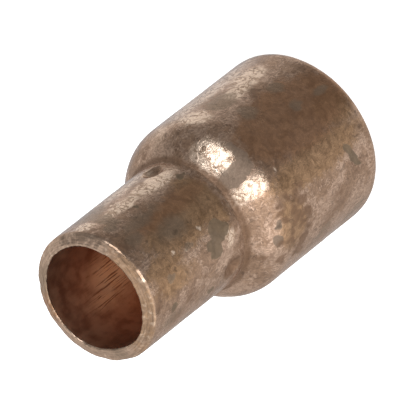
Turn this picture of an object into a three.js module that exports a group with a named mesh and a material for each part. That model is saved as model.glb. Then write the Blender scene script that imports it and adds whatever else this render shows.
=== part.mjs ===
// Concentric reducer for soldered copper tube, formed in one piece from drawn tube.
// Millimetres, +Z up along the tube axis. The spigot end stands on z = 0 and the solder cup
// opens upwards, so the origin is the centre of the spigot's end face.

import * as THREE from 'three';

// Driving dimensions: the tube sizes that the two ends fit, and the length between their faces.
const overallLength = 29.7;
const cupTubeDiameter = 9.52;
const cupClearance = 0.08;
const cupOuterDiameter = 11.8;
const spigotEndDiameter = 15.84;
const spigotShoulderDiameter = 15.94;
const spigotWall = 1.06;

// The shoulder between the two tubes: a cone that a round blends into each tube.
const shoulderAngle = THREE.MathUtils.degToRad(46.5);
const outerShoulderStart = 12.85;
const outerCrownRadius = 3.9;
const outerCreaseRadius = 0.6;
const innerShoulderStart = 12.75;
const innerCrownRadius = 2.8;
const innerCreaseRadius = 1.6;

// The ends: a rounded nose on the spigot, and a mouth whose rim slopes down from a narrow flat land
// to a rounded outer edge.
const noseDepth = 0.9;
const noseThickness = 0.5;
const mouthInnerBreak = 0.18;
const mouthLandWidth = 0.12;
const mouthSlope = THREE.MathUtils.degToRad(26);
const mouthEdgeRadius = 0.4;
const spigotInnerBreak = 0.12;

// The tube stop: oval dents punched into the cup's wall, which stand proud inside it.
const stopCount = 3;
const stopFromMouth = 11.45;
const stopHalfLength = 1.1;
const stopHalfWidth = 0.85;
const stopDepth = 0.45;
const firstStopAngle = Math.PI / 2;

// How finely the round shapes are cut into flats.
const sidesRound = 96;
const crownSteps = 7;
const creaseSteps = 3;
const edgeSteps = 4;
const stopSteps = 6;

const cupRadius = (cupTubeDiameter + cupClearance) / 2;
const cupOuterRadius = cupOuterDiameter / 2;
const spigotEndRadius = spigotEndDiameter / 2;
const spigotShoulderRadius = spigotShoulderDiameter / 2;
const spigotBoreRadius = spigotEndRadius - spigotWall;
const stopHeight = overallLength - stopFromMouth;

// Points of an elliptical arc about (radius, height), in the half plane that is turned about Z.
function arc(radius, height, alongRadius, alongHeight, fromAngle, toAngle, steps) {
  const points = [];
  for (let step = 0; step <= steps; step += 1) {
    const angle = THREE.MathUtils.lerp(fromAngle, toAngle, step / steps);
    const r = radius + alongRadius * Math.cos(angle);
    const z = height + alongHeight * Math.sin(angle);
    points.push(new THREE.Vector2(r, z));
  }
  return points;
}

// A shoulder that narrows upwards from one tube to the next: crown round, cone, crease round.
function shoulder(largeRadius, startHeight, smallRadius, crownRadius, creaseRadius) {
  const roundsIn = (crownRadius + creaseRadius) * (1 - Math.cos(shoulderAngle));
  const coneIn = largeRadius - smallRadius - roundsIn;
  const coneRise = coneIn / Math.tan(shoulderAngle);
  const endHeight = startHeight + (crownRadius + creaseRadius) * Math.sin(shoulderAngle) + coneRise;
  const crown = arc(
    largeRadius - crownRadius, startHeight, crownRadius, crownRadius, 0, shoulderAngle, crownSteps);
  const crease = arc(
    smallRadius + creaseRadius, endHeight, creaseRadius, creaseRadius,
    Math.PI + shoulderAngle, Math.PI, creaseSteps);
  return [...crown, ...crease];
}

// Evenly spaced points up a straight wall, where the tube stops dent it.
function stopRows(radius) {
  const rows = [];
  for (let step = 0; step <= stopSteps; step += 1) {
    const height = stopHeight + THREE.MathUtils.lerp(-stopHalfLength, stopHalfLength, step / stopSteps);
    rows.push(new THREE.Vector2(radius, height));
  }
  return rows;
}

// The cup's rounded outer edge, its sloping rim and the flat land round the bore.
function mouthLine() {
  const edgeCentreRadius = cupOuterRadius - mouthEdgeRadius;
  const landRadius = cupRadius + mouthInnerBreak + mouthLandWidth;
  const edgeEndAngle = Math.PI / 2 - mouthSlope;
  const edgeEndRadius = edgeCentreRadius + mouthEdgeRadius * Math.cos(edgeEndAngle);
  const edgeEndHeight = overallLength - (edgeEndRadius - landRadius) * Math.tan(mouthSlope);
  const edgeCentreHeight = edgeEndHeight - mouthEdgeRadius * Math.sin(edgeEndAngle);
  const edge = arc(
    edgeCentreRadius, edgeCentreHeight, mouthEdgeRadius, mouthEdgeRadius, 0, edgeEndAngle, edgeSteps);
  return [...edge, new THREE.Vector2(landRadius, overallLength)];
}

// The outside, from the spigot's nose up to the cup's mouth.
function outerLine() {
  const nose = arc(
    spigotEndRadius - noseThickness, noseDepth, noseThickness, noseDepth, -Math.PI / 2, 0, edgeSteps);
  const outerShoulder = shoulder(
    spigotShoulderRadius, outerShoulderStart, cupOuterRadius, outerCrownRadius, outerCreaseRadius);
  return [...nose, ...outerShoulder, ...stopRows(cupOuterRadius), ...mouthLine()];
}

// The waterway, from the spigot's end up through the shoulder and past the tube stops to the mouth.
function innerLine() {
  const innerShoulder = shoulder(
    spigotBoreRadius, innerShoulderStart, cupRadius, innerCrownRadius, innerCreaseRadius);
  return [
    new THREE.Vector2(spigotBoreRadius + spigotInnerBreak, 0),
    new THREE.Vector2(spigotBoreRadius, spigotInnerBreak),
    ...innerShoulder,
    ...stopRows(cupRadius),
    new THREE.Vector2(cupRadius, overallLength - mouthInnerBreak),
    new THREE.Vector2(cupRadius + mouthInnerBreak, overallLength),
  ];
}

// How far the punched tube stops push the wall inwards at an angle round the axis and a height.
function stopPush(angle, height) {
  const along = (height - stopHeight) / stopHalfLength;
  let push = 0;
  for (let stop = 0; stop < stopCount; stop += 1) {
    const stopAngle = firstStopAngle + stop * 2 * Math.PI / stopCount;
    const turn = Math.atan2(Math.sin(angle - stopAngle), Math.cos(angle - stopAngle));
    const across = turn * cupOuterRadius / stopHalfWidth;
    push += stopDepth * Math.max(0, 1 - along ** 2 - across ** 2);
  }
  return push;
}

// Moves both faces of the wall inwards at the tube stops.
function punchStops(geometry) {
  const position = geometry.attributes.position;
  for (let index = 0; index < position.count; index += 1) {
    const x = position.getX(index);
    const y = position.getY(index);
    const radius = Math.hypot(x, y);
    const push = stopPush(Math.atan2(y, x), position.getZ(index));
    const scale = (radius - push) / radius;
    position.setXY(index, x * scale, y * scale);
  }
  geometry.computeVertexNormals();
}

// The wall's outline goes up the outside and down the inside, and closes on itself.
function reducerGeometry() {
  const outside = outerLine();
  const outline = [...outside, ...innerLine().reverse(), outside[0].clone()];
  const geometry = new THREE.LatheGeometry(outline, sidesRound);
  geometry.rotateX(Math.PI / 2);
  punchStops(geometry);
  return geometry;
}

const weatheredCopper = new THREE.MeshStandardMaterial({
  color: new THREE.Color(0.42, 0.29, 0.21),
  roughness: 0.45,
  metalness: 1.0,
});

const reducerBody = new THREE.Mesh(reducerGeometry(), weatheredCopper);
reducerBody.name = 'reducer_body';

const concentricReducer = new THREE.Group();
concentricReducer.add(reducerBody);

export default concentricReducer;
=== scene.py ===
"""A weathered copper reducer: a rounded spigot, a sloped shoulder and a small solder cup.

Lengths in this script are millimetres, turned into metres where a mesh, lamp or camera is made.
A place on the reducer is given by its distance down from the cup's mouth and by its angle in degrees
round the axis from the front, which is the side that faces the camera.
"""

import math
import random

import bpy
import numpy as np
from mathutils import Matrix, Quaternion, Vector, noise


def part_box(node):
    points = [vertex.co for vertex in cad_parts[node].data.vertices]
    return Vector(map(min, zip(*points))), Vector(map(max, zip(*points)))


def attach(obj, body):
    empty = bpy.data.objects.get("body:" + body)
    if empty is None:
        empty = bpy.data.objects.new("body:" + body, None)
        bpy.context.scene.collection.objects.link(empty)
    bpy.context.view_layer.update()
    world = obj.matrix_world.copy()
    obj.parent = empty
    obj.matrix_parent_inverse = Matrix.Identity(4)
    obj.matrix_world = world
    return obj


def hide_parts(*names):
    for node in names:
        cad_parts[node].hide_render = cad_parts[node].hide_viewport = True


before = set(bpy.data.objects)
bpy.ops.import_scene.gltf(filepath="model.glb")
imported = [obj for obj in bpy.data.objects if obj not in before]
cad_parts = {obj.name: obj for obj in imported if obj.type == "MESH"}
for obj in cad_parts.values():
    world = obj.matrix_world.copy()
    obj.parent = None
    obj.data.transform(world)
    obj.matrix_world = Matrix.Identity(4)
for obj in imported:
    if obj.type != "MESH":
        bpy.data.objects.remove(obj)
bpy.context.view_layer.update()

MM = 0.001

# ---- The frame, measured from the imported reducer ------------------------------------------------
BODY_LOW, BODY_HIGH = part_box("reducer_body")
LENGTH = (BODY_HIGH.z - BODY_LOW.z) / MM
SPIGOT_RADIUS = BODY_HIGH.x / MM

# ---- The wall's shape ---------------------------------------------------------------------------
NOSE_TAPER = 0.05
SPIGOT_WALL = 1.06
CUP_RADIUS = 5.9
BORE_RADIUS = 4.8
SHOULDER_ANGLE = math.radians(46.5)
OUTER_SHOULDER = {"start": 12.85, "crown": 3.9, "crease": 0.4}
INNER_SHOULDER = {"start": 12.75, "crown": 2.8, "crease": 1.6}
NOSE_DEPTH = 0.9
NOSE_THICKNESS = 0.5
MOUTH_INNER_BREAK = 0.18
MOUTH_LAND_WIDTH = 0.12
MOUTH_SLOPE = math.radians(26.0)
MOUTH_EDGE_RADIUS = 0.4
SPIGOT_INNER_BREAK = 0.12

# ---- The tube stops punched into the cup --------------------------------------------------------
STOP_COUNT = 3
STOP_FROM_MOUTH = 11.45
STOP_HALF_LENGTH = 1.1
STOP_HALF_WIDTH = 0.85
STOP_DEPTH = 0.45
FIRST_STOP = 62.0

# ---- The camera: nearly flat perspective, rolled so that the upright part seems to lie down ------
FRONT_ANGLE = -92.0
VIEW_ELEVATION = 43.1
VIEW_ROLL = 128.23
VIEW_DISTANCE = 1001.0
VIEW_LENS = 1052.8
AIM_HEIGHT = 13.34
AIM_SIDEWAYS = 0.14

# ---- Mesh density -------------------------------------------------------------------------------
COLUMNS = 384
OUTER_SPACING = 0.18
BORE_SPACING = 0.40
SPIGOT_BORE_SPACING = 1.0

# ---- Wear of the tumbled surface ----------------------------------------------------------------
SEED = 7
DING_COUNT = 900
DING_RADIUS = (0.25, 0.9)
DING_DEPTH = 0.02
MOUTH_NICK_COUNT = 70
LIP_ROUGHNESS = 0.04
LIP_BEAD_SIZE = 0.38
LIP_DEPTH = 0.7
LIP_DENT = {"from_front": -115.0, "half_width": 45.0, "depth": 1.8, "push": 0.22, "fade": 0.6}
LIP_DENT_FROM_OUTSIDE = 0.3
RIM_LINE_HEIGHT = 0.035
RIM_LINE_SIZE = 0.25
RIM_LINE_CHANGE = 1.2
RIM_FADE = 0.3
RIM_BEAD_SIZE = 0.35
RIM_BEAD_COVER = 0.45
RIM_GOLD_COVER = 0.6
RIM_GOLD_FROM_FRONT = -35.0
RIM_GOLD_HALF_WIDTH = 75.0
RIM_GOLD_FADE = 30.0
SWELL_SIZE = 3.0
SWELL_HEIGHT = 0.02
HAMMER_SIZE = 0.75
HAMMER_HEIGHT = 0.007
GRIT_SIZE = 0.34
GRIT_HEIGHT = 0.006

FRONT = math.radians(FRONT_ANGLE)
TOWARDS_VIEW = Vector((math.cos(FRONT), math.sin(FRONT), 0.0))
ACROSS_VIEW = Vector((-math.sin(FRONT), math.cos(FRONT), 0.0))
UP = Vector((0.0, 0.0, 1.0))

# Listed marks: name, distance from the mouth, angle from the front, half length along the
# axis, half width round it, turn in degrees, and how soft the edge is. Lengths in millimetres.
GREY_PATINA = [
    ("boot, leg", 9.40, -29.5, 0.92, 1.00, 0, 0.10),
    ("boot, foot", 10.55, -18.0, 1.25, 0.88, -20, 0.12),
    ("speck", 5.90, 40.5, 0.30, 0.25, 0, 0.10),
    ("spot by the crease", 11.80, 37.0, 0.60, 0.30, 0, 0.20),
    ("low spot", 3.10, -51.0, 0.45, 0.35, 0, 0.15),
    ("low flank spot", 8.50, -64.5, 0.50, 0.30, 0, 0.20),
    ("lens", 26.40, -29.0, 0.40, 1.50, 26, 0.08),
]
PALE_PATINA = [
    ("shoulder gap", 14.60, 7.0, 1.50, 0.85, 0, 0.12),
    ("shoulder crown", 15.85, 14.0, 0.45, 1.60, 0, 0.20),
    ("shoulder spot", 15.35, -47.0, 0.45, 0.55, 0, 0.12),
    ("shoulder fleck", 15.60, -36.0, 0.32, 0.50, 0, 0.14),
]
GREY_CLOUD = [
    ("spot by the mouth", 2.10, 39.0, 0.60, 0.60, 0, 0.20),
    ("column", 3.00, 52.0, 0.70, 1.50, 0, 0.25),
    ("long band", 4.60, 27.5, 2.60, 0.60, 4, 0.60),
    ("band by the mouth", 2.50, 18.0, 1.10, 0.55, 0, 0.45),
    ("flank by the mouth", 3.80, 72.0, 1.70, 1.40, 20, 0.45),
    ("spot amid the cup", 6.70, -13.5, 0.60, 0.30, 0, 0.15),
    ("small low spot", 3.40, -26.0, 0.50, 0.30, 0, 0.10),
    ("low flank cloud", 3.00, -62.0, 1.20, 0.60, 0, 0.70),
    ("faint cloud", 6.30, 6.0, 1.80, 0.90, 0, 0.90),
    ("spigot smudge", 24.10, 16.5, 0.75, 0.45, 0, 0.30),
    ("smudge by the shoulder", 20.30, 32.0, 0.95, 0.80, 0, 0.40),
    ("smudge amid the spigot", 24.60, 34.0, 0.80, 0.65, 0, 0.30),
    ("smudge by the end", 27.40, 15.0, 1.00, 0.35, 0, 0.25),
    ("cloud by the flank", 20.40, 52.0, 1.60, 1.10, 0, 0.50),
    ("under spigot", 21.90, -66.0, 1.30, 0.45, 30, 0.35),
    ("under spigot end", 26.90, -72.0, 1.40, 0.60, 30, 0.40),
]
GOLDEN_OXIDE = [
    ("cup by the mouth", 3.20, -14.0, 2.60, 1.00, 0, 0.60),
    ("cup, middle", 7.00, 4.0, 4.40, 2.00, 0, 0.90),
    ("cup by the crease", 11.00, 6.0, 1.70, 3.20, 0, 0.80),
    ("spigot by the shoulder", 17.30, -42.0, 1.70, 2.40, 0, 1.00),
    ("cup, near side", 3.60, -29.0, 2.50, 1.10, 0, 1.00),
    ("spigot band", 22.40, -16.0, 6.50, 1.50, 0, 0.80),
    ("spigot end", 27.10, 2.0, 2.20, 1.60, 0, 0.90),
]
# Umber oxide, and on the top that faces the camera painted shade: these marks darken the band where
# the metal reflects the dim room.
DARK_OXIDE_AND_SHADE = [
    ("painted shade on the spigot top", 22.90, 14.0, 7.00, 3.20, 0, 1.30),
    ("painted shade on the cup top", 6.90, 21.0, 5.60, 1.00, 0, 0.90),
]
DIRT = [
    ("lower stop", 11.40, -57.0, 1.25, 1.05, 0, 0.22),
    ("spigot crack", 22.00, 35.0, 0.20, 1.60, -48, 0.30),
    ("mouth blotch", 1.15, -38.0, 0.40, 0.75, 0, 0.40),
    ("mouth line", 1.60, -30.0, 0.75, 0.14, 25, 0.25),
    ("low blotch", 4.00, -63.0, 0.90, 0.55, 0, 1.00),
    ("spigot speck", 16.50, -50.0, 0.30, 0.22, 30, 0.25),
    ("second speck", 17.10, -56.0, 0.35, 0.20, 0, 0.25),
    ("third speck", 17.40, -40.0, 0.50, 0.18, -30, 0.25),
    ("fourth speck", 18.30, -46.0, 0.35, 0.25, 20, 0.25),
    ("flank speck", 7.40, -44.0, 0.40, 0.30, 0, 0.40),
    ("flank blotch", 5.20, -54.0, 0.90, 0.45, 20, 0.70),
    ("spigot flank blotch", 23.00, -55.0, 1.10, 0.45, 10, 1.00),
    ("ring mark", 23.80, -45.5, 0.75, 0.50, 0, 0.60),
    ("shoulder pits", 14.30, -58.0, 0.40, 0.25, 0, 0.40),
]
BARE_COPPER = [
    ("beside the boot", 11.50, -29.0, 0.50, 0.70, 0, 0.60),
    ("edge nick", 0.40, -14.0, 0.16, 0.20, 0, 0.10),
    ("by the mouth", 1.45, 60.0, 0.85, 0.80, 0, 0.25),
    ("cup flank", 5.40, 51.0, 2.10, 0.75, 0, 0.30),
    ("cup flank, pink", 8.60, 53.0, 1.40, 0.50, 0, 0.40),
    ("cup flank, cream", 9.80, 49.0, 2.40, 1.00, 0, 0.60),
    ("spigot crystals", 22.30, 51.0, 1.30, 0.90, 0, 0.40),
    ("spigot wrinkles", 24.90, 56.0, 2.00, 1.30, 0, 0.60),
    ("spigot by the shoulder", 17.30, 56.0, 1.30, 1.30, 0, 0.60),
    ("cup flank, low", 8.40, 74.0, 4.00, 0.90, 0, 0.70),
    ("spigot flank", 21.90, 74.0, 6.50, 1.50, 0, 0.90),
    ("shoulder, upper highlight", 14.50, 26.0, 1.20, 2.00, 0, 0.50),
    ("shoulder, lower highlight", 14.60, -7.0, 1.60, 0.85, 0, 0.50),
    ("sparkle", 6.30, -15.0, 0.16, 0.16, 0, 0.10),
    ("second sparkle", 4.76, -10.0, 0.16, 0.16, 0, 0.10),
    ("third sparkle", 8.65, -7.0, 0.22, 0.14, 30, 0.10),
    ("fourth sparkle", 5.20, 61.0, 0.22, 0.14, 0, 0.10),
    ("arc scratch", 17.50, -6.0, 0.30, 0.12, 50, 0.08),
]
# Painted light: the pool of lamp light that falls through the mouth onto the bore's far wall.
LIT_BORE_PATCH = [
    ("painted lit strip", 7.40, 171.0, 2.30, 1.70, 0, 1.20),
    ("painted lit edge", 5.60, 186.0, 1.70, 0.70, 0, 0.80),
]
MARK_WANDER = 0.28
MARK_WANDER_SIZE = 0.7

# Marks of random place: how many, range of half lengths, range of width over length, and edge.
HIDDEN_GREY = (10, (0.2, 0.9), (0.3, 0.9), 0.35)
HIDDEN_CLOUD = (22, (0.5, 2.0), (0.4, 1.0), 0.8)
HIDDEN_GOLD = (5, (0.8, 2.4), (0.5, 1.0), 1.6)
HIDDEN_DARK = (8, (0.8, 4.0), (0.4, 0.8), 1.2)
HIDDEN_BARE = (18, (0.5, 2.2), (0.4, 0.9), 0.9)
RUST_FLECKS = (40, (0.20, 0.65), (0.4, 0.9), 0.12)
HIDDEN_ANGLES = (104.0, 256.0)
FLECK_ANGLES = (-66.0, -22.0)
FLECK_SPAN = (15.7, 19.5)

# Dirt in the hollows: the crease under the cup, the punched stops and the spots listed above.
SPOT_DIRT = 0.95
STOP_DIRT = 0.5
CREASE_DIRT = 1.4
CREASE_DIRT_WIDTH = 0.38
CREASE_ABOVE_START = 3.56
CREASE_WANDER = 0.12
CREASE_WANDER_SIZE = 0.6


def direction(from_front, elevation):
    """A unit vector at an angle round the axis from the front and above the horizon, in degrees."""
    turn, rise = math.radians(from_front), math.radians(elevation)
    level = TOWARDS_VIEW * math.cos(turn) + ACROSS_VIEW * math.sin(turn)
    return level * math.cos(rise) + UP * math.sin(rise)


# ---- Shader nodes -------------------------------------------------------------------------------
class Nodes:
    """Adds nodes to one tree. Each method returns the new node's output."""

    def __init__(self, tree):
        self.tree = tree

    def plug(self, socket, value):
        if isinstance(value, bpy.types.NodeSocket):
            self.tree.links.new(value, socket)
        elif value is not None:
            socket.default_value = value

    def add(self, kind, values=(), **settings):
        node = self.tree.nodes.new("ShaderNode" + kind)
        for name, value in settings.items():
            setattr(node, name, value)
        for key, value in dict(values).items():
            self.plug(node.inputs[key], value)
        return node

    def math(self, operation, a, b=None, c=None):
        return self.add("Math", {0: a, 1: b, 2: c}, operation=operation).outputs[0]

    def vector(self, operation, a, b=None, c=None, out="Vector"):
        return self.add("VectorMath", {0: a, 1: b, 2: c}, operation=operation).outputs[out]

    def remap(self, value, low, high, to_low=0.0, to_high=1.0, smooth=True):
        kind = "SMOOTHSTEP" if smooth else "LINEAR"
        values = {"Value": value, "From Min": low, "From Max": high,
                  "To Min": to_low, "To Max": to_high}
        return self.add("MapRange", values, interpolation_type=kind).outputs["Result"]

    def mix(self, factor, a, b):
        return self.add("Mix", {0: factor, 2: a, 3: b}, data_type="FLOAT").outputs[0]

    def mix_colour(self, factor, a, b, blend="MIX"):
        values = {0: factor, 6: rgba(a), 7: rgba(b)}
        return self.add("Mix", values, data_type="RGBA", blend_type=blend).outputs[2]

    def noise(self, place, size, detail=2.0, rough=0.5, warp=0.0, out="Fac"):
        """Noise whose features are about size millimetres across."""
        values = {"Vector": place, "Scale": 1.0 / size, "Detail": detail, "Roughness": rough,
                  "Distortion": warp}
        return self.add("TexNoise", values).outputs[out]

    def attribute(self, name):
        return self.add("Attribute", attribute_name=name).outputs["Fac"]


def rgba(colour):
    return (*colour, 1.0) if isinstance(colour, tuple) and len(colour) == 3 else colour


# ---- Camera, floor and light --------------------------------------------------------------------
def make_camera():
    data = bpy.data.cameras.new("camera")
    data.lens = VIEW_LENS
    data.sensor_width = 36.0
    data.clip_start = 0.05
    data.clip_end = 10.0
    camera = bpy.data.objects.new("camera", data)
    bpy.context.scene.collection.objects.link(camera)
    bpy.context.scene.camera = camera
    back = direction(0.0, VIEW_ELEVATION)
    aim = (UP * AIM_HEIGHT + ACROSS_VIEW * AIM_SIDEWAYS) * MM
    camera.location = aim + back * VIEW_DISTANCE * MM
    roll = Quaternion((0.0, 0.0, 1.0), -math.radians(VIEW_ROLL))
    camera.rotation_mode = "QUATERNION"
    camera.rotation_quaternion = (-back).to_track_quat("-Z", "Y") @ roll


def make_floor():
    """A plain white floor that only the camera sees, so the metal reflects the studio round it."""
    half = 2.0
    mesh = bpy.data.meshes.new("floor")
    corners = [(-half, -half, 0.0), (half, -half, 0.0), (half, half, 0.0), (-half, half, 0.0)]
    mesh.from_pydata(corners, [], [(0, 1, 2, 3)])
    floor = bpy.data.objects.new("floor", mesh)
    bpy.context.scene.collection.objects.link(floor)
    material = bpy.data.materials.new("floor_white")
    material.use_nodes = True
    shader = material.node_tree.nodes["Principled BSDF"]
    shader.inputs["Base Color"].default_value = (0.9, 0.9, 0.9, 1.0)
    shader.inputs["Roughness"].default_value = 0.8
    shader.inputs["Emission Color"].default_value = (1.0, 1.0, 1.0, 1.0)
    shader.inputs["Emission Strength"].default_value = 0.7
    mesh.materials.append(material)
    for ray in ("visible_diffuse", "visible_glossy", "visible_transmission", "visible_shadow"):
        setattr(floor, ray, False)


def make_softbox(name, from_front, elevation, distance, width, height, radiance):
    """A soft lamp that faces the reducer, with its brightness given as radiance."""
    data = bpy.data.lights.new(name, "AREA")
    data.shape = "RECTANGLE"
    data.size = width
    data.size_y = height
    data.energy = radiance * math.pi * width * height
    data.color = (0.96, 1.0, 1.06)
    lamp = bpy.data.objects.new(name, data)
    bpy.context.scene.collection.objects.link(lamp)
    back = direction(from_front, elevation)
    lamp.location = UP * LENGTH * 0.5 * MM + back * distance
    lamp.rotation_mode = "QUATERNION"
    lamp.rotation_quaternion = (-back).to_track_quat("-Z", "Y")


def make_world():
    """A white sweep behind, a lit wall and a dim room in front, and plain white for the camera."""
    world = bpy.data.worlds.new("studio")
    bpy.context.scene.world = world
    world.use_nodes = True
    tree = world.node_tree
    add = Nodes(tree)
    place = add.add("TexCoord").outputs["Generated"]

    def glow(from_front, elevation, start, full, low, high):
        facing = add.vector("DOT_PRODUCT", place, direction(from_front, elevation), out="Value")
        return add.remap(facing, start, full, low, high)

    sweep = glow(-155.0, -24.0, -0.28, 0.22, 0.0, 0.62)
    contact_shade = glow(-164.0, -40.0, 0.60, 1.0, 1.0, 0.42)
    flank_light = glow(-43.0, 13.0, 0.55, 0.92, 0.32, 1.62)
    ceiling = glow(0.0, 90.0, 0.75, 0.97, 0.0, 0.8)
    upper_fill = glow(93.0, 23.0, 0.92, 0.99, 0.0, 0.13)
    direct = add.math("ADD", add.math("ADD", flank_light, upper_fill), ceiling)
    light = add.math("MULTIPLY_ADD", sweep, contact_shade, direct)
    seen = add.add("LightPath").outputs["Is Camera Ray"]
    strength = add.mix(seen, light, 1.0)
    unseen = add.math("SUBTRACT", 1.0, seen)
    daylight = add.math("MULTIPLY", glow(155.0, -40.0, 0.85, 0.99, 0.0, 1.0), unseen)
    tint = add.mix_colour(daylight, (1.0, 1.0, 1.0), (0.95, 1.03, 1.13))
    add.plug(tree.nodes["Background"].inputs["Strength"], strength)
    add.plug(tree.nodes["Background"].inputs["Color"], tint)


# ---- The wall's outline -------------------------------------------------------------------------
def arc(radius, height, along_radius, along_height, start, end, steps):
    turns = np.linspace(start, end, steps + 1)
    return [(radius + along_radius * math.cos(t), height + along_height * math.sin(t)) for t in turns]


def between(start, end, steps):
    """Points that split the line between two (radius, height) points, without its ends."""
    start, end = np.array(start), np.array(end)
    return [tuple(start + (end - start) * i / steps) for i in range(1, steps)]


def wall(start, end, spacing):
    return between(start, end, max(2, round(math.dist(start, end) / spacing)))


def shoulder(large_radius, small_radius, shape, spacing):
    """The crown round, cone and crease round of a shoulder that narrows upwards."""
    crown, crease = shape["crown"], shape["crease"]
    rounds_in = (crown + crease) * (1 - math.cos(SHOULDER_ANGLE))
    cone_rise = (large_radius - small_radius - rounds_in) / math.tan(SHOULDER_ANGLE)
    end = shape["start"] + (crown + crease) * math.sin(SHOULDER_ANGLE) + cone_rise
    crown_steps = round(crown * SHOULDER_ANGLE / spacing)
    crease_steps = max(5, round(crease * SHOULDER_ANGLE / spacing))
    crown_line = arc(
        large_radius - crown, shape["start"], crown, crown, 0.0, SHOULDER_ANGLE, crown_steps)
    crease_line = arc(
        small_radius + crease, end, crease, crease, math.pi + SHOULDER_ANGLE, math.pi, crease_steps)
    return crown_line + wall(crown_line[-1], crease_line[0], spacing) + crease_line


def mouth_line():
    """The cup's rounded outer edge, its sloping rim and the narrow flat land round the bore."""
    centre = CUP_RADIUS - MOUTH_EDGE_RADIUS
    land = BORE_RADIUS + MOUTH_INNER_BREAK + MOUTH_LAND_WIDTH
    end_turn = math.pi / 2 - MOUTH_SLOPE
    end_radius = centre + MOUTH_EDGE_RADIUS * math.cos(end_turn)
    end_height = LENGTH - (end_radius - land) * math.tan(MOUTH_SLOPE)
    centre_height = end_height - MOUTH_EDGE_RADIUS * math.sin(end_turn)
    edge = arc(centre, centre_height, MOUTH_EDGE_RADIUS, MOUTH_EDGE_RADIUS, 0.0, end_turn, 6)
    slope = between(edge[-1], (land, LENGTH), 8)
    return edge + slope + [(land, LENGTH)]


def outer_line():
    """From the spigot's end face up the outside to the cup's mouth."""
    end_radius = SPIGOT_RADIUS - NOSE_TAPER
    nose = arc(end_radius - NOSE_THICKNESS, NOSE_DEPTH, NOSE_THICKNESS, NOSE_DEPTH,
               -math.pi / 2, 0.0, 10)
    slope = shoulder(SPIGOT_RADIUS, CUP_RADIUS, OUTER_SHOULDER, OUTER_SPACING)
    mouth = mouth_line()
    spigot = wall(nose[-1], slope[0], OUTER_SPACING)
    cup = wall(slope[-1], mouth[0], OUTER_SPACING)
    return nose + spigot + slope + cup + mouth


def inner_line():
    """From the cup's mouth down the bore to the spigot's end face."""
    spigot_bore = SPIGOT_RADIUS - NOSE_TAPER - SPIGOT_WALL
    lip = arc(BORE_RADIUS + MOUTH_INNER_BREAK, LENGTH - MOUTH_INNER_BREAK,
              MOUTH_INNER_BREAK, MOUTH_INNER_BREAK, math.pi / 2, math.pi, 4)
    slope = shoulder(spigot_bore, BORE_RADIUS, INNER_SHOULDER, BORE_SPACING)[::-1]
    end = [(spigot_bore, SPIGOT_INNER_BREAK), (spigot_bore + SPIGOT_INNER_BREAK, 0.0)]
    cup = wall(lip[-1], slope[0], BORE_SPACING)
    spigot = wall(slope[-1], end[0], SPIGOT_BORE_SPACING)
    return lip + cup + slope + spigot + end


class Wall:
    """The wall as a grid of points: rows follow the closed outline, columns go round the axis."""

    def __init__(self):
        outer, inner = outer_line(), inner_line()
        rim = between(outer[-1], inner[0], 2)
        foot = between(inner[-1], outer[0], 5)
        outline = np.array(outer + rim + inner + foot)
        self.rows = len(outline)
        self.bore_rows = slice(len(outer) + len(rim) + 4, self.rows - len(foot) - 1)
        self.outer_rows = slice(0, len(outer))
        self.angles = np.arange(COLUMNS) * 360.0 / COLUMNS
        self.radius = np.repeat(outline[:, :1], COLUMNS, axis=1)
        self.height = np.repeat(outline[:, 1:], COLUMNS, axis=1)
        before, after = np.roll(outline, 1, axis=0), np.roll(outline, -1, axis=0)
        along = after - before
        along /= np.linalg.norm(along, axis=1, keepdims=True)
        self.out_radius = along[:, 1:]
        self.out_height = -along[:, :1]
        self.from_mouth = LENGTH - self.height

    def turn_from(self, centre):
        """The columns' angles from a centre, in degrees from -180 to 180."""
        return ((self.angles - centre + 180.0) % 360.0 - 180.0)[None, :]

    def points(self):
        turn = np.radians(self.angles + FRONT_ANGLE)[None, :]
        return np.stack([self.radius * np.cos(turn), self.radius * np.sin(turn), self.height], axis=-1)

    def push_out(self, amount):
        """Moves the wall along its outward direction, by a grid of millimetres."""
        self.radius = self.radius + self.out_radius * amount
        self.height = self.height + self.out_height * amount


def noise_grid(points, size, seed, octaves=1):
    """Smooth noise at each point, about -1 to 1, with features about size millimetres across."""
    shift = Vector((17.3, 5.9, 11.1)) * seed
    flat = points.reshape(-1, 3) / size
    values = [noise.fractal(Vector(p) + shift, 1.0, 2.0, octaves) for p in flat.tolist()]
    return np.array(values).reshape(points.shape[:-1])


def smooth(value):
    value = np.clip(value, 0.0, 1.0)
    return value * value * (3.0 - 2.0 * value)


# ---- Dents and wear in the wall -----------------------------------------------------------------
def punch_stops(grid):
    """Pushes both faces of the wall inwards at the tube stops."""
    along = (grid.from_mouth - STOP_FROM_MOUTH) / STOP_HALF_LENGTH
    push = np.zeros_like(grid.radius)
    for stop in range(STOP_COUNT):
        turn = grid.turn_from(FIRST_STOP + stop * 360.0 / STOP_COUNT)
        across = np.radians(turn) * CUP_RADIUS / STOP_HALF_WIDTH
        push += STOP_DEPTH * np.clip(1.0 - along ** 2 - across ** 2, 0.0, 1.0)
    grid.radius = grid.radius - push
    return push


def tumble(grid):
    """Swells, hammered facets, grit and dings left on the outside by tumbling with other parts."""
    points = grid.points()
    outside = grid.outer_rows
    lift = np.zeros_like(grid.radius)
    near = points[outside]
    lift[outside] += SWELL_HEIGHT * noise_grid(near, SWELL_SIZE, SEED)
    lift[outside] += HAMMER_HEIGHT * noise_grid(near, HAMMER_SIZE, SEED + 1)
    lift[outside] += GRIT_HEIGHT * noise_grid(near, GRIT_SIZE, SEED + 2)
    lift[outside] -= dings(grid)[outside]
    grid.push_out(lift)


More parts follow.
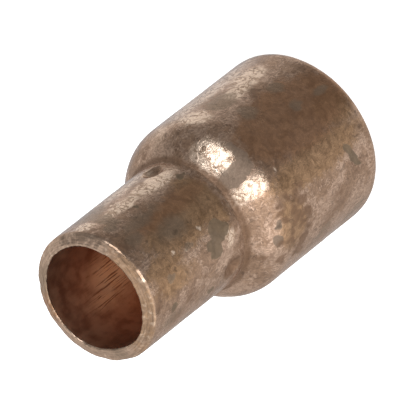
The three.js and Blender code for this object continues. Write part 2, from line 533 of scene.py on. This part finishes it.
def dings(grid):
    """The depth of the round dents all over the outside, with more and deeper ones at the mouth."""
    chooser = random.Random(SEED)
    depth = np.zeros_like(grid.radius)
    for number in range(DING_COUNT + MOUTH_NICK_COUNT):
        at_mouth = number >= DING_COUNT
        from_mouth = chooser.uniform(0.1, 0.7) if at_mouth else chooser.uniform(0.2, LENGTH - 0.2)
        centre = chooser.uniform(0.0, 360.0)
        radius = DING_RADIUS[0] + (DING_RADIUS[1] - DING_RADIUS[0]) * chooser.random() ** 3
        deep = DING_DEPTH * radius * chooser.uniform(0.2, 1.0) * (3.0 if at_mouth else 1.0)
        rows = np.abs(grid.from_mouth[:, 0] - from_mouth) < radius
        along = (grid.from_mouth[rows] - from_mouth) / radius
        across = np.radians(grid.turn_from(centre)) * grid.radius[rows] / radius
        depth[rows] += deep * np.clip(1.0 - along ** 2 - across ** 2, 0.0, 1.0)
    return depth


def batter_mouth(grid):
    """Beads and rings left on the cut mouth, and the side where its lip is bent inwards."""
    at_lip = smooth(1.0 - grid.from_mouth / LIP_DEPTH)
    turn = np.broadcast_to(np.radians(grid.turn_from(0.0)), grid.radius.shape)
    ripple = LIP_ROUGHNESS * noise_grid(grid.points(), LIP_BEAD_SIZE, SEED + 10, 2)
    along = [RIM_LINE_CHANGE * np.cos(turn), RIM_LINE_CHANGE * np.sin(turn)]
    rings = np.stack([grid.radius / RIM_LINE_SIZE, *along], axis=-1)
    lines = RIM_LINE_HEIGHT * noise_grid(rings, 1.0, SEED + 12, 2)
    bent = smooth(1.0 - np.abs(grid.turn_from(LIP_DENT["from_front"])) / LIP_DENT["half_width"])
    near = smooth(1.0 - grid.from_mouth / LIP_DENT["depth"])
    inside = smooth((CUP_RADIUS - LIP_DENT_FROM_OUTSIDE - grid.radius) / LIP_DENT["fade"])
    grid.push_out(at_lip * (ripple + lines))
    grid.radius = grid.radius - LIP_DENT["push"] * bent * near * inside


# ---- Stains -------------------------------------------------------------------------------------
def marks(grid, points, placed, seed):
    """How strongly each point is covered by a set of placed marks, from 0 to 1."""
    stray_along = MARK_WANDER * noise_grid(points, MARK_WANDER_SIZE, seed, 2)
    stray_across = MARK_WANDER * noise_grid(points, MARK_WANDER_SIZE, seed + 20, 2)
    cover = np.zeros_like(grid.radius)
    for _, from_mouth, from_front, half_length, half_width, turn, edge in placed:
        along = grid.from_mouth - from_mouth + stray_along
        across = np.radians(grid.turn_from(from_front)) * grid.radius + stray_across
        c, s = math.cos(math.radians(turn)), math.sin(math.radians(turn))
        far = np.hypot((along * c + across * s) / half_length, (across * c - along * s) / half_width)
        inside = (1.0 - far) * min(half_length, half_width)
        cover = np.maximum(cover, smooth(0.5 + 0.5 * inside / edge))
    return cover


def scattered(seed, sort, span=(0.5, LENGTH - 0.5), angles=HIDDEN_ANGLES):
    """Marks of one sort at random places in a span below the mouth and a range of angles."""
    count, half_lengths, stretch, edge = sort
    chooser = random.Random(seed)
    found = []
    for _ in range(count):
        from_mouth = chooser.uniform(*span)
        from_front = chooser.uniform(*angles)
        half_length = chooser.uniform(*half_lengths)
        half_width = half_length * chooser.uniform(*stretch)
        turn = chooser.uniform(-50.0, 50.0)
        found.append(("scattered", from_mouth, from_front, half_length, half_width, turn, edge))
    return found


def grime(grid, points, pushed):
    """Dirt in the crease under the cup, in the punched stops, in spots and in flecks, from 0 to 1."""
    crease_from_mouth = LENGTH - (OUTER_SHOULDER["start"] + CREASE_ABOVE_START)
    stray = CREASE_WANDER * noise_grid(points, CREASE_WANDER_SIZE, SEED + 9, 2)
    off_crease = np.abs(grid.from_mouth - crease_from_mouth + stray)
    in_crease = CREASE_DIRT * (1.0 - off_crease / CREASE_DIRT_WIDTH)
    in_stops = STOP_DIRT * pushed / STOP_DEPTH
    spots = DIRT + scattered(SEED + 14, RUST_FLECKS, FLECK_SPAN, FLECK_ANGLES)
    in_spots = SPOT_DIRT * marks(grid, points, spots, SEED + 11)
    return np.maximum(in_spots, smooth(np.maximum(in_crease, in_stops)))


def stains(grid, pushed):
    """How strongly each stain covers each point of the wall, by the stain's name."""
    points = grid.points()
    off_gold = np.abs(grid.turn_from(RIM_GOLD_FROM_FRONT))
    gold_side = smooth((RIM_GOLD_HALF_WIDTH - off_gold) / RIM_GOLD_FADE)
    rim = smooth((LIP_DEPTH - grid.from_mouth) / RIM_FADE)
    beads = rim * smooth(0.35 + noise_grid(points, RIM_BEAD_SIZE, SEED + 13, 2))
    grey = GREY_PATINA + scattered(SEED, HIDDEN_GREY)
    cloud = GREY_CLOUD + scattered(SEED + 4, HIDDEN_CLOUD)
    golden = GOLDEN_OXIDE + scattered(SEED + 1, HIDDEN_GOLD)
    dark = DARK_OXIDE_AND_SHADE + scattered(SEED + 2, HIDDEN_DARK)
    bare = BARE_COPPER + scattered(SEED + 3, HIDDEN_BARE)
    golden_marks = marks(grid, points, golden, SEED + 4)
    bare_marks = marks(grid, points, bare, SEED + 6)
    return {
        "grey_patina": marks(grid, points, grey, SEED + 3),
        "pale_patina": marks(grid, points, PALE_PATINA, SEED + 3),
        "grey_cloud": marks(grid, points, cloud, SEED + 8),
        "golden_oxide": np.maximum(RIM_GOLD_COVER * rim * gold_side, golden_marks),
        "cut_rim": rim,
        "dark_oxide_and_shade": marks(grid, points, dark, SEED + 5),
        "bare_copper": np.maximum(RIM_BEAD_COVER * beads, bare_marks),
        "painted_light_bore": marks(grid, points, LIT_BORE_PATCH, SEED + 7),
        "grime": grime(grid, points, pushed),
    }


def make_reducer():
    grid = Wall()
    pushed = punch_stops(grid)
    covers = stains(grid, pushed)
    tumble(grid)
    batter_mouth(grid)
    mesh = bpy.data.meshes.new("copper_reducer")
    row = np.arange(grid.rows)[:, None]
    column = np.arange(COLUMNS)[None, :]
    above, beside = (row + 1) % grid.rows, (column + 1) % COLUMNS
    corners = [row * COLUMNS + column, row * COLUMNS + beside,
               above * COLUMNS + beside, above * COLUMNS + column]
    faces = np.stack(corners, axis=-1).reshape(-1, 4)
    mesh.from_pydata((grid.points() * MM).reshape(-1, 3).tolist(), [], faces.tolist())
    in_bore = np.zeros(grid.radius.shape, int)
    in_bore[grid.bore_rows] = 1
    mesh.polygons.foreach_set("material_index", in_bore.ravel())
    for name, cover in covers.items():
        mesh.attributes.new(name, "FLOAT", "POINT").data.foreach_set("value", cover.ravel())
    mesh.update()
    mesh.shade_smooth()
    piece = bpy.data.objects.new("copper_reducer", mesh)
    bpy.context.scene.collection.objects.link(piece)
    return piece


# ---- Materials ----------------------------------------------------------------------------------
def new_material(name):
    material = bpy.data.materials.new(name)
    material.use_nodes = True
    tree = material.node_tree
    add = Nodes(tree)
    place = add.vector("SCALE", add.add("TexCoord").outputs["Object"])
    place.node.inputs["Scale"].default_value = 1.0 / MM
    return material, add, tree.nodes["Principled BSDF"], place


def rim_rings(add, place):
    """Fine rings round the axis, as left by the tool that cut the mouth."""
    radius = add.vector("LENGTH", add.vector("MULTIPLY", place, (1.0, 1.0, 0.0)), out="Value")
    slow = add.add("SeparateXYZ", {0: add.vector("MULTIPLY", place, (0.1, 0.1, 0.0))})
    ring_place = add.add("CombineXYZ", {0: radius, 1: slow.outputs["X"], 2: slow.outputs["Y"]})
    return add.noise(ring_place.outputs[0], 0.11, 2.0)


def weathered_copper():
    """Tumbled copper: pinkish metal under brown, golden and matt grey films; the umber film is partly
    painted shade on the top that faces the camera.
    """
    material, add, shader, place = new_material("weathered_copper")
    swirl = add.vector("SUBTRACT", add.noise(place, 1.3, 2.0, out="Color"), (0.5, 0.5, 0.5))
    swirled = add.vector("MULTIPLY_ADD", swirl, (1.8, 1.8, 1.8), place)
    cloud = add.noise(place, 3.0, 3.0, 0.55, 0.6)
    blotch = add.noise(place, 0.9, 3.0, 0.6, 0.8)
    grain = add.noise(place, 0.28, 3.0, 0.6, 1.2)
    stroke = add.noise(add.vector("MULTIPLY", swirled, (1.0, 1.0, 0.45)), 0.19, 2.0, 0.6)
    wrinkle = add.math("ABSOLUTE", add.math("SUBTRACT", add.noise(swirled, 0.75, 2.0), 0.5))
    coarse = add.math("MULTIPLY", add.math("SUBTRACT", blotch, 0.5), 0.5)
    ragged = add.math("MULTIPLY_ADD", add.math("SUBTRACT", grain, 0.5), 0.6, coarse)

    def film(name, sharp):
        """A stain's cover with its edge torn by the grain. A small sharp makes a hard edge."""
        cover = add.attribute(name)
        fringe = add.math("MINIMUM", add.math("MULTIPLY", cover, 2.0), 1.0)
        torn = add.math("MULTIPLY_ADD", ragged, fringe, cover)
        return add.remap(torn, 0.5 - sharp, 0.5 + sharp)

    def coat(under, name, strength, colour, sharp):
        """How much of a stain's colour shows, and the colour with that stain laid over it."""
        amount = add.math("MULTIPLY", film(name, sharp), strength)
        return amount, add.mix_colour(amount, under, colour)

    rings = rim_rings(add, place)
    streak = add.remap(stroke, 0.3, 0.7)
    mottle = add.remap(blotch, 0.3, 0.7)
    speckle = add.remap(add.noise(swirled, 0.55, 2.0, 0.6), 0.58, 0.72, 1.0, 0.68)
    tan = add.mix_colour(streak, (0.330, 0.215, 0.152), (0.470, 0.328, 0.242))
    brown = add.mix_colour(mottle, (0.170, 0.100, 0.063), (0.320, 0.203, 0.134))
    clouded = add.math("ADD", ragged, cloud)
    oxidised = add.remap(clouded, 0.46, 0.57, 0.0, 0.85)
    colour = add.mix_colour(oxidised, tan, brown)
    cut_rim = add.math("MULTIPLY", add.attribute("cut_rim"), 0.75)
    colour = add.mix_colour(cut_rim, colour, (0.400, 0.285, 0.210))
    gold = add.mix_colour(mottle, (0.235, 0.134, 0.068), (0.385, 0.232, 0.128))
    _, colour = coat(colour, "golden_oxide", 0.85, gold, 0.4)
    umber = add.mix_colour(mottle, (0.240, 0.124, 0.066), (0.325, 0.175, 0.096))
    # The umber film: oxide, and partly painted shade on the top that faces the camera.
    dark, colour = coat(colour, "dark_oxide_and_shade", 0.85, umber, 0.4)
    worn = add.mix_colour(add.remap(wrinkle, 0.0, 0.08), (0.34, 0.23, 0.155), (0.84, 0.65, 0.50))
    _, colour = coat(colour, "bare_copper", 0.8, worn, 0.4)
    _, colour = coat(colour, "grey_cloud", 0.7, (0.240, 0.172, 0.120), 0.4)
    grey, colour = coat(colour, "grey_patina", 0.85, (0.143, 0.104, 0.067), 0.18)
    pale, colour = coat(colour, "pale_patina", 0.85, (0.196, 0.141, 0.102), 0.18)
    dirt = add.attribute("grime")
    colour = add.mix_colour(add.math("MULTIPLY", dirt, 0.8), colour, (0.150, 0.084, 0.048))
    shade = add.math("MULTIPLY", speckle, add.remap(stroke, 0.3, 0.7, 0.90, 1.10))
    shade = add.mix(add.math("MULTIPLY", dark, 0.7), shade, 1.0)
    shade = add.mix(grey, shade, add.remap(blotch, 0.3, 0.7, 0.85, 1.15))
    shade = add.mix(cut_rim, shade, add.remap(rings, 0.3, 0.7, 0.72, 1.18))
    shades = add.add("CombineXYZ", {0: shade, 1: shade, 2: shade}).outputs[0]
    colour = add.mix_colour(1.0, colour, shades, blend="MULTIPLY")
    add.plug(shader.inputs["Base Color"], colour)
    matt = add.math("MAXIMUM", add.math("MAXIMUM", grey, pale), dirt)
    add.plug(shader.inputs["Metallic"], add.mix(matt, 0.84, 0.7))
    add.plug(shader.inputs["Roughness"], add.mix(matt, add.remap(blotch, 0.3, 0.7, 0.15, 0.27), 0.5))
    shader.inputs["IOR"].default_value = 1.4
    shader.inputs["Specular Tint"].default_value = (1.0, 0.88, 0.80, 1.0)
    relief = add.math("MULTIPLY_ADD", stroke, 0.35, add.math("MULTIPLY", grain, 0.6))
    relief = add.mix(cut_rim, relief, add.math("MULTIPLY", rings, 0.6))
    bump = add.add("Bump", {"Height": relief, "Distance": 0.04 * MM, "Strength": 1.0})
    add.plug(shader.inputs["Normal"], bump.outputs["Normal"])
    return material


def drawn_copper():
    """The bore: brown metal with scratches along the axis, painted light where the lamps shine in on
    the far wall, and a colour darker towards the mouth.
    """
    material, add, shader, place = new_material("drawn_copper")
    lines = add.vector("MULTIPLY", place, (1.0, 1.0, 0.05))
    scratch = add.noise(lines, 0.16, 3.0, 0.65)
    cloud = add.noise(place, 1.2, 3.0)
    # Painted light: the lit pool on the bore's far wall gets a bright scratched colour.
    lit_patch = add.attribute("painted_light_bore")
    height = add.add("SeparateXYZ", {0: place}).outputs["Z"]
    shade = add.remap(height, LENGTH - 4.5, LENGTH - 0.5, 1.0, 0.6)
    shades = add.add("CombineXYZ", {0: shade, 1: shade, 2: shade}).outputs[0]
    dull = add.mix_colour(add.remap(cloud, 0.35, 0.65), (0.42, 0.215, 0.130), (0.62, 0.345, 0.212))
    bright = add.mix_colour(add.remap(scratch, 0.36, 0.50), (0.34, 0.170, 0.095), (1.00, 0.690, 0.460))
    colour = add.mix_colour(1.0, add.mix_colour(lit_patch, dull, bright), shades, blend="MULTIPLY")
    add.plug(shader.inputs["Base Color"], colour)
    add.plug(shader.inputs["Roughness"], add.remap(cloud, 0.3, 0.7, 0.28, 0.42))
    shader.inputs["Metallic"].default_value = 0.9
    bump = add.add("Bump", {"Height": scratch, "Distance": 0.03 * MM, "Strength": 1.0})
    add.plug(shader.inputs["Normal"], bump.outputs["Normal"])
    return material


make_camera()
make_floor()
make_softbox("key_softbox", 39.5, 23.0, 0.5, 0.20, 0.35, 4.0)
make_softbox("side_softbox", -16.5, 15.0, 0.5, 0.10, 0.60, 3.1)
make_world()
bpy.context.scene.view_settings.view_transform = "Standard"

reducer = make_reducer()
reducer.data.materials.append(weathered_copper())
reducer.data.materials.append(drawn_copper())
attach(reducer, "root")
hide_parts("reducer_body")
